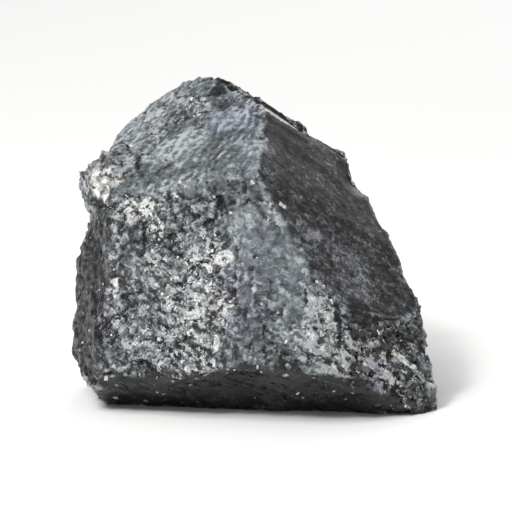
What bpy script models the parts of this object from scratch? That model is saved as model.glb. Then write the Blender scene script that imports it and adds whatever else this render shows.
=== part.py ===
"""Black tourmaline: one broken block of the mineral, about 60 mm across, resting on a flat fracture at Z = 0.

The block is a stub of a thick prism whose axis leans down to the right and back. Its long prism faces are
grooved along that axis, as the mineral grows. Every other face is a fracture: it has shallow scars, lumps,
ledges and chipped edges. A knob of pale feldspar is grown into its left shoulder, so all of it is one solid.

Frame: metres, +X to the right, -Y towards the viewer, +Z up, origin on the floor under the middle of the
block's box. Run it with: blender --background --python part.py
"""

import math
import random

import bmesh
import bpy
from mathutils import Matrix, Vector, noise

MM = 0.001
NAME = "black_tourmaline"
SEED = 11

# The point inside the block that the reach of every face is measured from.
CORE = Vector((0, 0, 22)) * MM
ROUGH_CUBE = 140 * MM

# Where the crystal's axis points: (azimuth, elevation) in degrees. Azimuth 0 faces the viewer, 90 the right.
AXIS_AIM = (115, -34)

# Prism faces lie along the axis: turn about it from straight up, in degrees, and reach in mm.
PRISM_FACES = {
    "right": (37, 19.7),
    "right_low": (50, 20.8),
    "upper_back": (-40, 23.6),
    "back": (-78, 20.0),
}

# Fracture faces: azimuth and elevation of the way each one looks, in degrees, and reach in mm.
FRACTURES = {
    "front_left": (-20, 13, 23.3),
    "front_right": (-7, 13, 23.8),
    "front_corner": (22, 13, 26.6),
    "brow": (-38, 60, 23.6),
    "crown": (-68, 57, 25.9),
    "ridge": (107.5, 58, 22.2),
    "crown_left": (-112, 23, 28.2),
    "crown_back": (156, 41, 21.8),
    "shoulder": (-92, 16, 26.8),
    "heel": (44, 13, 26.4),
    "left": (-73, 9, 27.3),
    "left_back": (-109, -2, 26.4),
    "far_left": (-144, 8, 27.0),
    "broken_end": (129, 0, 13.0),
    "under_front": (-7, -52, 26.7),
    "under_left": (-82, -38, 33.0),
    "under_back": (172, -44, 27.0),
}

# Grooves along the prism faces: turn about the axis, reach of the groove's floor in mm, half width in mm.
GROOVES = (
    (46, 19.9, 1.1),
    (29, 20.2, 0.8),
    (12, 20.9, 1.2),
    (-9, 20.7, 0.9),
    (-24, 22.9, 1.4),
    (-40, 23.3, 1.1),
    (-52, 23.0, 1.5),
    (-66, 20.4, 1.2),
    (-80, 19.2, 1.6),
    (-96, 19.7, 1.2),
)

# Ledges broken out of the block. Each one removes the corner between two planes:
# point on the ledge's edge in mm, then the (azimuth, elevation) each of the two planes looks.
LEDGES = (
    ((17.7, -24.2, 15.7), (156, 42), (52, 15)),
    ((27.3, -14.2, 9.0), (120, 50), (54, 12)),
    ((-20.0, 14.0, 27.0), (-130, 64), (-150, -10)),
    ((4.0, 19.5, 14.0), (170, 58), (196, -6)),
    ((14.5, 9.0, 24.5), (140, 20), (100, -60)),
    ((8.5, -0.2, 42.4), (107.5, 57), (115, -34)),
)

# Shallow scars pressed into the faces: centre in mm, radius in mm, depth in mm.
SCARS = (
    ((-9.0, -24.0, 30.5), 9.0, 1.1),
    ((4.5, -27.5, 17.0), 8.0, 0.7),
    ((-17.0, -22.0, 14.0), 8.5, 0.7),
    ((-5.6, -1.2, 48.2), 2.8, 1.2),
    ((-9.0, -8.0, 46.0), 7.0, 0.5),
    ((-26.0, 6.0, 20.0), 9.0, 1.4),
    ((-14.0, 20.0, 18.0), 10.0, 1.3),
    ((14.0, 9.0, 12.0), 8.0, 1.0),
    ((22.0, -20.0, 24.0), 5.0, 0.6),
    ((16.0, -1.6, 35.0), 4.0, 1.0),
    ((-3.0, -22.0, 5.0), 9.0, 0.8),
)

# The lobes of the feldspar knob: centre in mm, reach along X, Y and Z in mm, and how many faces each has.
KNOB_LOBES = (
    ((-21.6, -4.9, 34.4), (6.2, 6.6, 7.0), 21),
    ((-20.8, 5.0, 29.8), (5.6, 7.2, 6.0), 13),
)

# Chips along the edges: how many, the radius of the shell-shaped bite in mm, and how deep it goes in.
CHIPS = 52
CHIP_RADIUS = (2.0, 5.0)
CHIP_DEPTH = (0.35, 1.0)
CHIP_LEAST_ANGLE = math.radians(28)

EDGE_LENGTH = 1.95 * MM
SLIVER_WIDTH = 0.002 * MM
SHORT_EDGE = 0.35 * MM
LUMP_HEIGHT = 0.50 * MM
LUMP_WIDTH = 7.0 * MM
GRAIN_HEIGHT = 0.26 * MM
GRAIN_WIDTH = 3.4 * MM
STRIPE_HEIGHT = 0.22 * MM
STRIPE_WIDTH = 2.6 * MM
FLAT_ANGLE = math.radians(1.0)


def direction(azimuth, elevation):
    """Unit vector at this azimuth and elevation, in degrees."""
    turn = math.radians(azimuth)
    rise = math.radians(elevation)
    flat = math.cos(rise)
    return Vector((math.sin(turn) * flat, -math.cos(turn) * flat, math.sin(rise)))


AXIS = direction(*AXIS_AIM)
AXIS_UP = (Vector((0, 0, 1)) - AXIS * AXIS.z).normalized()


def prism_normal(turn):
    """The way the prism face at this turn about the axis looks."""
    return (Matrix.Rotation(math.radians(turn), 3, AXIS) @ AXIS_UP).normalized()


def cut(bm, point, normal):
    """Cuts away what lies beyond the plane and closes the opening with one face."""
    everything = bm.verts[:] + bm.edges[:] + bm.faces[:]
    made = bmesh.ops.bisect_plane(
        bm, geom=everything, dist=1e-7, plane_co=point, plane_no=normal, clear_outer=True
    )
    rim = [item for item in made["geom_cut"] if isinstance(item, bmesh.types.BMEdge)]
    if rim:
        bmesh.ops.contextual_create(bm, geom=rim)


def add_object(name, bm, collection):
    bmesh.ops.recalc_face_normals(bm, faces=bm.faces[:])
    mesh = bpy.data.meshes.new(name)
    bm.to_mesh(mesh)
    bm.free()
    obj = bpy.data.objects.new(name, mesh)
    collection.objects.link(obj)
    return obj


def block_mesh():
    """The block with all its faces flat: a cube cut down by one plane after another."""
    bm = bmesh.new()
    bmesh.ops.create_cube(bm, size=ROUGH_CUBE)
    cut(bm, Vector((0, 0, 0)), Vector((0, 0, -1)))
    for turn, reach in PRISM_FACES.values():
        normal = prism_normal(turn)
        cut(bm, CORE + normal * reach * MM, normal)
    for azimuth, elevation, reach in FRACTURES.values():
        normal = direction(azimuth, elevation)
        cut(bm, CORE + normal * reach * MM, normal)
    return bm


def lobe_mesh(centre, reach, faces, rng):
    """One lobe of the feldspar knob: a small cube cut down by planes that look every way."""
    bm = bmesh.new()
    middle = Vector(centre) * MM
    bmesh.ops.create_cube(bm, size=30 * MM, matrix=Matrix.Translation(middle))
    for index in range(faces):
        height = 1 - 2 * (index + 0.5) / faces
        turn = index * 137.5 + rng.uniform(-14, 14)
        normal = direction(turn, math.degrees(math.asin(height)))
        length = Vector([normal[axis] * reach[axis] for axis in range(3)]).length
        cut(bm, middle + normal * length * rng.uniform(0.86, 1.0) * MM, normal)
    return bm


def groove_mesh():
    """Long square bars laid along the axis with one edge inwards, all in one mesh."""
    bm = bmesh.new()
    for turn, reach, half_width in GROOVES:
        normal = prism_normal(turn)
        across = AXIS.cross(normal).normalized()
        frame = Matrix((AXIS, across, normal)).transposed().to_4x4()
        tilt = Matrix.Rotation(math.radians(45), 4, "X")
        side = half_width * math.sqrt(2) * MM
        lift = (reach + half_width) * MM
        place = Matrix.Translation(CORE + normal * lift) @ frame @ tilt
        stretch = Matrix.Diagonal((150 * MM, side, side, 1))
        bmesh.ops.create_cube(bm, size=1, matrix=place @ stretch)
    return bm


def ledge_mesh(point, upper, outer):
    """A block that fills the outside corner between two planes through the point."""
    bm = bmesh.new()
    corner = Vector(point) * MM
    bmesh.ops.create_cube(bm, size=60 * MM, matrix=Matrix.Translation(corner))
    cut(bm, corner, -direction(*upper))
    cut(bm, corner, -direction(*outer))
    return bm


def chip_mesh(block, rng):
    """Rough balls just off the block's sharp edges; cutting them out leaves shell-shaped chips."""
    edges = [edge for edge in block.edges if edge.calc_face_angle(0) > CHIP_LEAST_ANGLE]
    edges.sort(key=lambda edge: tuple(round(value, 6) for value in edge.verts[0].co + edge.verts[1].co))
    lengths = [edge.calc_length() for edge in edges]
    bm = bmesh.new()
    for edge in rng.choices(edges, lengths, k=CHIPS):
        start, end = (vert.co for vert in edge.verts)
        spot = start.lerp(end, rng.uniform(0.04, 0.96))
        outward = (edge.link_faces[0].normal + edge.link_faces[1].normal).normalized()
        side = (end - start).normalized()
        radius = rng.uniform(*CHIP_RADIUS) * MM
        depth = rng.uniform(*CHIP_DEPTH) * MM
        lean = Matrix.Rotation(rng.uniform(-0.5, 0.5), 3, side) @ outward
        if spot.z < 3 * MM:
            continue
        turn = Matrix.Rotation(rng.uniform(0, 6.28), 4, side)
        place = Matrix.Translation(spot + lean * (radius - depth)) @ turn
        bmesh.ops.create_icosphere(bm, subdivisions=1, radius=radius, matrix=place)
    return bm


def boolean(obj, other, operation):
    """Joins or cuts with an exact Boolean and keeps the result as the object's mesh."""
    modifier = obj.modifiers.new(operation.title(), "BOOLEAN")
    modifier.object = other
    modifier.operation = operation
    modifier.solver = "EXACT"
    modifier.use_self = True
    graph = bpy.context.evaluated_depsgraph_get()
    graph.update()
    result = bpy.data.meshes.new_from_object(obj.evaluated_get(graph))
    obj.modifiers.remove(modifier)
    obj.data = result


def smooth_free_points(bm):
    """Evens out the points inside flat faces, and along creases, without moving them off those faces."""
    moves = {}
    for vert in bm.verts:
        creases = [edge for edge in vert.link_edges if edge.calc_face_angle(0) > FLAT_ANGLE]
        if not creases:
            around = [edge.other_vert(vert).co for edge in vert.link_edges]
            moves[vert] = sum(around, Vector()) / len(around)
        elif len(creases) == 2:
            ends = [edge.other_vert(vert).co for edge in creases]
            ways = [(end - vert.co).normalized() for end in ends]
            if ways[0].dot(ways[1]) < -0.9999:
                moves[vert] = (ends[0] + ends[1]) / 2
    for vert, place in moves.items():
        vert.co = vert.co.lerp(place, 0.5)


def sharpness(vert):
    """How many creases meet at this point."""
    return sum(edge.calc_face_angle(0) > FLAT_ANGLE for edge in vert.link_edges)


def merge_short_edges(bm):
    """Merges the two ends of each very short edge, wherever the surface stays closed by that."""
    for _ in range(4):
        for edge in [item for item in bm.edges if item.calc_length() < SHORT_EDGE]:
            if not edge.is_valid or edge.calc_length() >= SHORT_EDGE:
                continue
            first, second = edge.verts
            near_first = {item.other_vert(first) for item in first.link_edges}
            near_second = {item.other_vert(second) for item in second.link_edges}
            if len(near_first & near_second) != 2:
                continue
            place = max((first, second), key=sharpness).co.copy()
            bmesh.ops.pointmerge(bm, verts=[first, second], merge_co=place)
    bm.normal_update()


def too_long(edge):
    """The flat foot stays coarse, since it isn't roughened."""
    on_floor = all(face.normal.z < -0.999 for face in edge.link_faces)
    return edge.calc_length() > (8 if on_floor else 1.35) * EDGE_LENGTH


def open_slivers(bm):
    """Turns the longest edge of each triangle without width, so that no point lies on another's edge."""
    for face in bm.faces[:]:
        if not face.is_valid or len(face.edges) != 3:
            continue
        longest = max(face.edges, key=lambda edge: edge.calc_length())
        if face.calc_area() < SLIVER_WIDTH * longest.calc_length() and len(longest.link_faces) == 2:
            bmesh.utils.edge_rotate(longest, False)
    bm.normal_update()


def even_mesh(bm):
    """Cuts the flat faces into even triangles with sides near EDGE_LENGTH."""
    bmesh.ops.remove_doubles(bm, verts=bm.verts[:], dist=0.01 * MM)
    bmesh.ops.dissolve_limit(
        bm, angle_limit=math.radians(0.3), verts=bm.verts[:], edges=bm.edges[:]
    )
    bmesh.ops.triangulate(bm, faces=bm.faces[:])
    for _ in range(7):
        long_edges = [edge for edge in bm.edges if too_long(edge)]
        if long_edges:
            bmesh.ops.bisect_edges(bm, edges=long_edges, cuts=1)
            bmesh.ops.triangulate(bm, faces=bm.faces[:])
            open_slivers(bm)
        for _ in range(2):
            flat = [edge for edge in bm.edges if edge.calc_face_angle(9) < FLAT_ANGLE]
            bmesh.ops.beautify_fill(bm, faces=bm.faces[:], edges=flat)
            smooth_free_points(bm)
        bm.normal_update()
    merge_short_edges(bm)


def is_prism(normal):
    return abs(normal.dot(AXIS)) < 0.05


def lumps(place, seed):
    """Broad lumps of a fracture, and the blocky grain on them, as a height in metres."""
    broad = noise.noise((place + seed) / LUMP_WIDTH) * LUMP_HEIGHT
    cell = noise.cell_vector(place / GRAIN_WIDTH + seed)
    offset = (place / GRAIN_WIDTH) - Vector(math.floor(value) + 0.5 for value in place / GRAIN_WIDTH)
    tilt = (cell * 2 - Vector((1, 1, 1))).dot(offset)
    fine = noise.noise(place / GRAIN_WIDTH * 1.3 + seed)
    return broad + (0.45 * tilt + 0.9 * fine) * GRAIN_HEIGHT


def stripes(place, seed):
    """Fine steps of a prism face, which run along the axis, as a height in metres."""
    along = AXIS * place.dot(AXIS)
    spot = (place - along) / STRIPE_WIDTH + along / (16 * STRIPE_WIDTH) + seed
    return noise.noise(spot) * STRIPE_HEIGHT


def scars(place):
    """Depth of the shallow scars at this place, in metres."""
    depth = 0.0
    for centre, radius, deepest in SCARS:
        gap = (place - Vector(centre) * MM).length / (radius * MM)
        if gap < 1:
            depth += deepest * MM * (1 - gap * gap) ** 1.5
    return depth


def roughen(bm):
    """Moves each point along the faces that meet at it, so that faces get rough and their edges stay sharp."""
    bm.normal_update()
    moves = {}
    for vert in bm.verts:
        normals = []
        for face in vert.link_faces:
            if all(face.normal.dot(other) < math.cos(3 * FLAT_ANGLE) for other in normals):
                normals.append(face.normal.copy())
        move = Vector()
        for _ in range(12):
            for normal in normals:
                seed = Vector(round(value * 3) for value in normal) * 7.3
                height = stripes(vert.co, seed) if is_prism(normal) else lumps(vert.co, seed)
                if normal.z < -0.999:
                    height = 0.0
                else:
                    height -= scars(vert.co)
                move += normal * (height - move.dot(normal)) * 0.7
        moves[vert] = move
    for vert, move in moves.items():
        on_floor = vert.co.z < 0.02 * MM
        vert.co += move
        if on_floor:
            vert.co.z = 0.0
        vert.co.z = max(vert.co.z, 0.0)


def centre_on_origin(bm):
    """Moves the stone sideways until its box is centred on the origin."""
    for axis in range(2):
        places = [vert.co[axis] for vert in bm.verts]
        middle = (min(places) + max(places)) / 2
        for vert in bm.verts:
            vert.co[axis] -= middle


def stone_material():
    material = bpy.data.materials.new("Black tourmaline")
    material.use_nodes = True
    shader = material.node_tree.nodes["Principled BSDF"]
    shader.inputs["Base Color"].default_value = (0.028, 0.029, 0.031, 1)
    shader.inputs["Roughness"].default_value = 0.42
    shader.inputs["IOR"].default_value = 1.64
    return material


def main():
    for obj in list(bpy.data.objects):
        bpy.data.objects.remove(obj)
    scene = bpy.context.scene
    scene.unit_settings.system = "METRIC"
    scene.unit_settings.scale_length = 1.0
    stone = bpy.data.collections.new("Black tourmaline")
    cutters = bpy.data.collections.new("Cutters")
    cutters.hide_render = True
    scene.collection.children.link(stone)
    scene.collection.children.link(cutters)

    rng = random.Random(SEED)
    block = block_mesh()
    block.normal_update()
    chips = chip_mesh(block, rng)
    obj = add_object(NAME, block, stone)
    boolean(obj, add_object("groove_cutter", groove_mesh(), cutters), "DIFFERENCE")
    for index, ledge in enumerate(LEDGES):
        boolean(obj, add_object(f"ledge_cutter_{index}", ledge_mesh(*ledge), cutters), "DIFFERENCE")
    for index, lobe in enumerate(KNOB_LOBES):
        boolean(obj, add_object(f"knob_lobe_{index}", lobe_mesh(*lobe, rng), cutters), "UNION")
    boolean(obj, add_object("chip_cutter", chips, cutters), "DIFFERENCE")
    for helper in cutters.objects:
        helper.display_type = "WIRE"
        helper.hide_render = True

    bm = bmesh.new()
    bm.from_mesh(obj.data)
    even_mesh(bm)
    roughen(bm)
    centre_on_origin(bm)
    bmesh.ops.recalc_face_normals(bm, faces=bm.faces[:])
    bm.to_mesh(obj.data)
    bm.free()
    obj.data.name = NAME
    obj.data.materials.clear()
    obj.data.materials.append(stone_material())


main()
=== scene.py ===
"""Black tourmaline, finished: one broken block of the mineral on a plain pale floor.

The block is cut from a cube with the same planes as the solid, then gets the fine relief that a solid is
too coarse for: broken grain on the fractures, growth lines along the prism faces, cracks, a cleaved knob
and crumbled edges. Loose grains of mica and feldspar lie in its hollows. Run it with Blender 4.5.
"""

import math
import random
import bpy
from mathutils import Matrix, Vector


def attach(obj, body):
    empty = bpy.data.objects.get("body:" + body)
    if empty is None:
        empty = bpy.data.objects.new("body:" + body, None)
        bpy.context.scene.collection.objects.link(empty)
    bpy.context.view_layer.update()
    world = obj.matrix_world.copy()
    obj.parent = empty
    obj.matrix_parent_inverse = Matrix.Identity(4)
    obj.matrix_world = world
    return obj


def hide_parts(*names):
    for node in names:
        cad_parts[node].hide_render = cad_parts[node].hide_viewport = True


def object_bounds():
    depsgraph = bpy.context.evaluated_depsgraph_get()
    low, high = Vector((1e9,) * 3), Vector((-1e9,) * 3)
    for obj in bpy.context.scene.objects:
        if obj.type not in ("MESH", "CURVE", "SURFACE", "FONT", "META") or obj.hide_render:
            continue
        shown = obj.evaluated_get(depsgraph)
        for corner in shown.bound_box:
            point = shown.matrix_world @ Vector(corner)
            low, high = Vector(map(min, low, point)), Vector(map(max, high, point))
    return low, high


bl_info = {
    "name": "Black Tourmaline Block",
    "version": (1, 0, 0),
    "blender": (4, 5, 0),
    "location": "View3D > Sidebar > Tourmaline",
    "description": "Models a rough block of black tourmaline, its grain and a plain stage",
    "category": "Add Mesh",
}

import bmesh
import bpy
import numpy as np
from bpy.props import FloatProperty, FloatVectorProperty, IntProperty, PointerProperty
from mathutils import Matrix, Vector, noise
from mathutils.bvhtree import BVHTree

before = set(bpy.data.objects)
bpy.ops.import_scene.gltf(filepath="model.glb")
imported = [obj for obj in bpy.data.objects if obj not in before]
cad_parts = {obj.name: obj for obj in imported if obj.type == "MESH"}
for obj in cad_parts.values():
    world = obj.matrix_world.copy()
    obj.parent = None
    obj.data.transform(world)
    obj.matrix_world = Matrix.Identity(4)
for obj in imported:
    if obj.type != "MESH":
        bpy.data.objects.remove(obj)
CAD_BOX = [list(corner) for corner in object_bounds()]

MM = 0.001
NODE = "black_tourmaline"
BODY = "root"
SEED = 11

# ---- The block's form, in mm and degrees ---------------------------------------------------------------

# The reach of every face is measured from this point, and the finished block is moved sideways by MIDDLE
# so that its box is centred on the origin.
CORE = Vector((0, 0, 22))
MIDDLE = Vector((0.01, -2.62, 0))
ROUGH_CUBE = 140

# Where the crystal's axis points: azimuth (0 faces the viewer, 90 the right) and elevation.
AXIS_AIM = (115, -34)

# Prism faces, along the axis: turn about it from straight up, and reach.
PRISM_FACES = {
    "right": (37, 19.7),
    "right_low": (50, 20.8),
    "upper_back": (-40, 23.6),
    "back": (-78, 20.0),
}

# Fracture faces: azimuth and elevation of the way each one looks, and reach.
FRACTURES = {
    "front_left": (-20, 13, 23.3),
    "front_right": (-7, 13, 23.8),
    "front_corner": (22, 13, 26.6),
    "brow": (-38, 60, 23.6),
    "crown": (-68, 57, 25.9),
    "ridge": (107.5, 58, 22.2),
    "crown_left": (-112, 23, 28.2),
    "crown_back": (156, 41, 21.8),
    "shoulder": (-92, 16, 26.8),
    "heel": (44, 13, 26.4),
    "left": (-73, 9, 27.3),
    "left_back": (-109, -2, 26.4),
    "far_left": (-144, 8, 27.0),
    "broken_end": (129, 0, 13.0),
    "under_front": (-7, -52, 26.7),
    "under_left": (-82, -38, 33.0),
    "under_back": (172, -44, 27.0),
}

# Grooves along the prism faces: turn about the axis, reach of the groove's floor, half width.
GROOVES = (
    (46, 19.9, 1.1),
    (29, 20.2, 0.8),
    (12, 20.9, 1.2),
    (-9, 20.7, 0.9),
    (-24, 22.9, 1.4),
    (-40, 23.3, 1.1),
    (-52, 23.0, 1.5),
    (-66, 20.4, 1.2),
    (-80, 19.2, 1.6),
    (-96, 19.7, 1.2),
)

# Ledges broken out of the block: a point on the edge, then the way each of the two planes looks.
LEDGES = (
    ((17.7, -24.2, 15.7), (156, 42), (52, 15)),
    ((27.3, -14.2, 9.0), (120, 50), (54, 12)),
    ((-20.0, 14.0, 27.0), (-130, 64), (-150, -10)),
    ((4.0, 19.5, 14.0), (170, 58), (196, -6)),
    ((14.5, 9.0, 24.5), (140, 20), (100, -60)),
    ((8.5, -0.2, 42.4), (107.5, 57), (115, -34)),
)

# Shallow scars pressed into the faces: centre, radius and depth.
SCARS = (
    ((-9.0, -24.0, 30.5), 9.0, 1.1),
    ((4.5, -27.5, 17.0), 8.0, 0.7),
    ((-17.0, -22.0, 14.0), 8.5, 0.7),
    ((-5.6, -1.2, 48.2), 2.8, 1.2),
    ((-9.0, -8.0, 46.0), 7.0, 0.5),
    ((7.0, 3.0, 44.6), 7.0, 0.7),
    ((-26.0, 6.0, 20.0), 9.0, 1.4),
    ((-14.0, 20.0, 18.0), 10.0, 1.3),
    ((14.0, 9.0, 12.0), 8.0, 1.0),
    ((22.0, -20.0, 24.0), 5.0, 0.6),
    ((16.0, -1.6, 35.0), 4.0, 1.0),
    ((-3.0, -22.0, 5.0), 9.0, 0.8),
)

# Lobes of the feldspar knob: centre, reach along X, Y and Z, and number of faces.
KNOB_LOBES = (
    ((-21.6, -4.9, 34.4), (6.2, 6.6, 7.0), 21),
    ((-20.8, 5.0, 29.8), (5.6, 7.2, 6.0), 13),
)

# Their faces look in even directions, give or take this many degrees, at this share of the full reach.
LOBE_STRAY = 14
LOBE_SHARE = (0.86, 1.0)

# Cubes that the lobes and ledges are cut from, and the length of a groove: each is more than enough.
LOBE_CUBE = 30
LEDGE_CUBE = 60
GROOVE_LENGTH = 150

CHIPS = 52
CHIP_RADIUS = (2.0, 5.0)
CHIP_DEPTH = (0.35, 1.0)
CHIP_LEAST_ANGLE = math.radians(28)
CHIP_LEAST_HEIGHT = 3

# Directions that turn by this many degrees each time are spread evenly.
GOLDEN_ANGLE = 137.5

# Hair cracks and broken steps: half width, depth, then the points they run through.
CRACKS = (
    (0.55, 0.30, ((1.2, -22.5, 32.0), (0.5, -23.1, 29.8), (-0.5, -24.2, 23.6), (-1.4, -25.4, 16.5))),
    (0.90, 0.50, ((-17.5, -16.3, 33.5), (-11.5, -18.0, 35.2), (-5.0, -20.2, 35.0), (1.0, -21.3, 35.6))),
    (0.60, 0.40, ((1.0, -21.3, 35.6), (5.0, -21.6, 33.0), (8.5, -23.6, 29.0))),
    (0.70, 0.50, ((12.6, -24.8, 20.0), (13.4, -25.6, 16.0), (14.2, -25.8, 12.5), (17.0, -25.0, 9.0))),
    (0.60, 0.45, ((16.0, -23.8, 16.5), (19.0, -22.4, 14.6), (22.0, -20.5, 12.8))),
    (0.60, 0.45, ((18.6, -22.7, 12.4), (21.4, -21.0, 9.6), (24.4, -18.9, 6.4), (27.2, -17.0, 3.4))),
    (0.45, 0.35, ((22.4, -18.6, 13.4), (25.2, -17.0, 9.2), (28.0, -15.6, 4.6))),
    (0.45, 0.30, ((9.7, -24.7, 27.2), (11.2, -25.6, 22.6), (12.4, -26.4, 17.0))),
    (0.50, 0.35, ((-20.0, -16.0, 27.0), (-19.0, -18.5, 20.0), (-21.0, -18.5, 15.0))),
    (0.55, 0.40, ((-26.5, -8.0, 25.0), (-27.5, -2.0, 19.0), (-26.0, 7.0, 16.0), (-24.0, 13.0, 9.0))),
    (0.50, 0.35, ((-16.0, 2.0, 43.0), (-19.0, 7.0, 36.0), (-21.0, 12.0, 31.0))),
    (0.50, 0.35, ((8.0, 13.0, 22.0), (14.0, 10.0, 15.0), (17.0, 8.0, 6.0))),
)

# Lines and spots of lighter or darker tone: half width, how light or dark, then the points of the line.
DUST_AND_SHADING_LINES = (
    # Ridge: dark lines of painted shadow on its lip, a light line of painted highlight, then painted
    # shade.
    (0.80, -2.6, ((-5.4, 6.2, 50.1), (-2.0, 1.4, 49.1), (1.5, -4.2, 48.0))),
    (0.75, -2.6, ((1.7, -4.0, 47.9), (4.9, -2.4, 45.6), (8.7, -0.2, 43.0))),
    (0.32, 2.6, ((1.5, -5.3, 47.3), (4.9, -3.8, 44.8), (8.6, -1.3, 42.5))),
    (0.45, -2.4, ((2.0, -6.6, 46.1), (2.8, -6.4, 45.6))),
    (0.45, -2.4, ((4.4, -5.6, 44.0), (6.0, -4.8, 42.9))),
    (0.45, -2.4, ((6.8, -4.0, 42.4), (8.4, -3.2, 41.2))),
    # Heel: dark lines of painted shadow in its cracks, and light lines of painted highlight on ledges
    # below.
    (0.60, -2.0, ((13.0, -24.9, 19.0), (13.4, -25.6, 16.0), (13.8, -25.9, 12.8))),
    (0.65, -2.0, ((16.8, -23.6, 16.2), (18.6, -22.6, 14.9), (21.0, -21.0, 13.2))),
    (0.50, -1.8, ((23.4, -18.8, 11.8), (25.2, -17.9, 9.2), (27.0, -17.0, 6.6))),
    (0.50, 1.5, ((23.0, -19.3, 9.8), (25.6, -18.0, 7.0), (28.4, -15.8, 3.9))),
    (0.90, 1.0, ((18.4, -23.9, 9.8), (20.2, -22.8, 8.4), (22.4, -21.2, 6.6))),
    (0.45, -1.6, ((20.4, -22.6, 11.0), (23.4, -20.6, 7.4), (26.0, -18.8, 4.0))),
    # Light spots of pale dust, then one dark line.
    (1.10, 4.4, ((-5.0, -22.2, 26.1), (-4.2, -22.4, 26.5))),
    (0.50, 3.0, ((-8.3, -20.4, 27.4), (-7.8, -21.1, 25.5))),
    (0.45, 2.6, ((-6.8, -21.8, 24.6), (-5.4, -22.5, 24.3))),
    (0.50, 2.6, ((-22.0, -17.5, 21.6), (-22.0, -17.9, 20.2))),
    (0.70, 2.6, ((-10.3, -22.7, 17.0), (-9.2, -23.3, 17.2))),
    (0.45, 2.4, ((-14.5, -21.5, 14.2), (-14.0, -21.7, 14.2))),
    (0.45, 2.4, ((-5.8, -25.3, 14.0), (-5.9, -25.6, 12.2))),
    (0.45, 2.4, ((-6.6, -26.0, 10.4), (-6.5, -26.1, 9.6))),
    (0.40, 2.4, ((0.1, -24.6, 21.9), (0.2, -24.6, 21.6))),
    (0.45, 2.4, ((4.4, -20.6, 34.6), (4.9, -20.2, 34.0))),
    (0.40, 2.4, ((-12.4, -17.6, 35.3), (-12.0, -17.6, 35.1))),
    (0.45, 2.4, ((-20.0, -15.7, 32.6), (-19.0, -15.7, 33.4))),
    (0.50, 2.2, ((-17.9, -16.2, 33.6), (-17.0, -16.3, 34.4))),
    (0.45, 2.4, ((9.2, -25.6, 20.6), (9.4, -25.7, 19.8))),
    (0.50, -2.2, ((-3.7, -22.7, 25.0), (-2.4, -23.4, 22.4))),
)

# ---- How each face broke, and patches of another tone --------------------------------------------------

# How smooth each face is, and how much lighter or darker than the rest.
FACE_LOOKS = {
    "brow": (0.88, -0.02),
    "crown": (0.75, 0.54),
    "crown_left": (0.3, 0.1),
    "crown_back": (0.2, 0.05),
    "front_right": (0.40, 0.06),
    "front_corner": (-0.1, 0.25),
    # The left face is darkened as a painted shadow, as of a stone close beside it.
    "left": (0.2, -1.0),
    "left_back": (0.2, -0.60),
    "far_left": (0.1, -0.05),
    "heel": (-0.4, -0.85),
    # The faces underneath are darkened as painted shade.
    "under_front": (0.5, -1.6),
    "under_left": (0.4, -0.50),
    "under_back": (0.4, -0.50),
}

# Soft patches: centre, radius and strength.
TONE_PATCHES = (
    # A dark spot of painted shadow at the top.
    ((-4.5, 3.6, 49.5), 2.8, -2.2),
    # A painted highlight at the top, where the violet film lies.
    ((-2.6, -4.4, 46.2), 3.4, 0.75),
    ((-13.5, -8.0, 42.0), 5.0, 0.80),
    # Painted shadow down the left side, as of a stone close beside it.
    ((-25.0, -10.0, 25.0), 3.5, -0.6),
    ((-25.5, -13.0, 18.6), 4.0, -1.0),
    ((-25.3, -17.5, 11.0), 4.0, -1.0),
    ((-11.0, -18.0, 34.0), 3.2, -0.35),
    ((-5.0, -20.0, 35.0), 3.6, -0.45),
    ((1.0, -21.0, 35.5), 3.2, -0.30),
    # Painted shade in the corner under the heel's ledge.
    ((15.4, -24.2, 16.6), 2.8, -0.9),
    ((19.5, -21.8, 15.2), 3.0, -0.5),
    ((24.0, -18.2, 12.4), 3.0, -0.4),
    ((-2.0, -27.0, 10.0), 6.0, -0.35),
    ((-2.2, -24.5, 20.0), 3.2, -0.25),
    ((5.5, -26.0, 19.0), 4.0, 0.22),
    ((6.2, -24.3, 27.2), 5.5, 0.22),
    ((-1.5, -23.0, 30.0), 4.5, 0.30),
    ((0.4, -13.8, 43.2), 3.0, 0.60),
    ((15.0, -19.0, 23.0), 5.0, 0.35),
    ((-12.0, -16.0, 38.5), 5.0, 0.20),
    # A painted glint on the heel, over pale dust.
    ((19.6, -23.0, 8.8), 3.2, 0.7),
    ((10.5, -26.6, 15.4), 4.5, 0.42),
    ((8.0, -20.5, 29.0), 3.5, 0.40),
    ((5.0, -7.0, 42.5), 4.0, -0.35),
    # More painted shadow on the left side.
    ((-24.5, -8.6, 29.0), 3.4, -0.6),
    ((-10.0, 16.0, 30.0), 9.0, 0.20),
    ((2.0, 20.0, 8.0), 8.0, -0.25),
)
PALE_PATCHES = (
    ((-9.7, -23.0, 18.4), 6.0, 0.9),
    ((-10.5, -24.0, 11.0), 5.5, 0.55),
    ((-17.5, -20.5, 13.0), 6.0, 0.4),
    ((-7.0, -21.0, 27.0), 4.0, 0.8),
    ((-4.9, -22.2, 26.4), 1.3, 1.7),
    ((-8.0, -20.9, 27.6), 0.9, 1.6),
    ((-13.5, -19.8, 25.0), 5.0, 0.5),
    ((-17.0, -16.6, 32.6), 3.6, 1.0),
    ((9.6, -26.4, 18.0), 3.4, 0.6),
    ((12.0, -27.0, 12.0), 4.0, 0.5),
    ((3.4, -22.0, 34.8), 2.6, 0.5),
    ((21.5, -21.5, 9.5), 7.0, 0.4),
    ((19.6, -23.2, 8.8), 2.6, 0.8),
    ((-9.0, -0.2, 46.0), 1.8, 1.1),
    ((-14.0, 1.0, 45.0), 6.0, 0.35),
    ((-24.0, 10.0, 14.0), 7.0, 0.5),
    ((-10.0, 17.0, 22.0), 6.0, 0.5),
    ((6.0, 18.0, 9.0), 6.0, 0.6),
    ((17.0, 6.0, 8.0), 6.0, 0.5),
)
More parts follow.
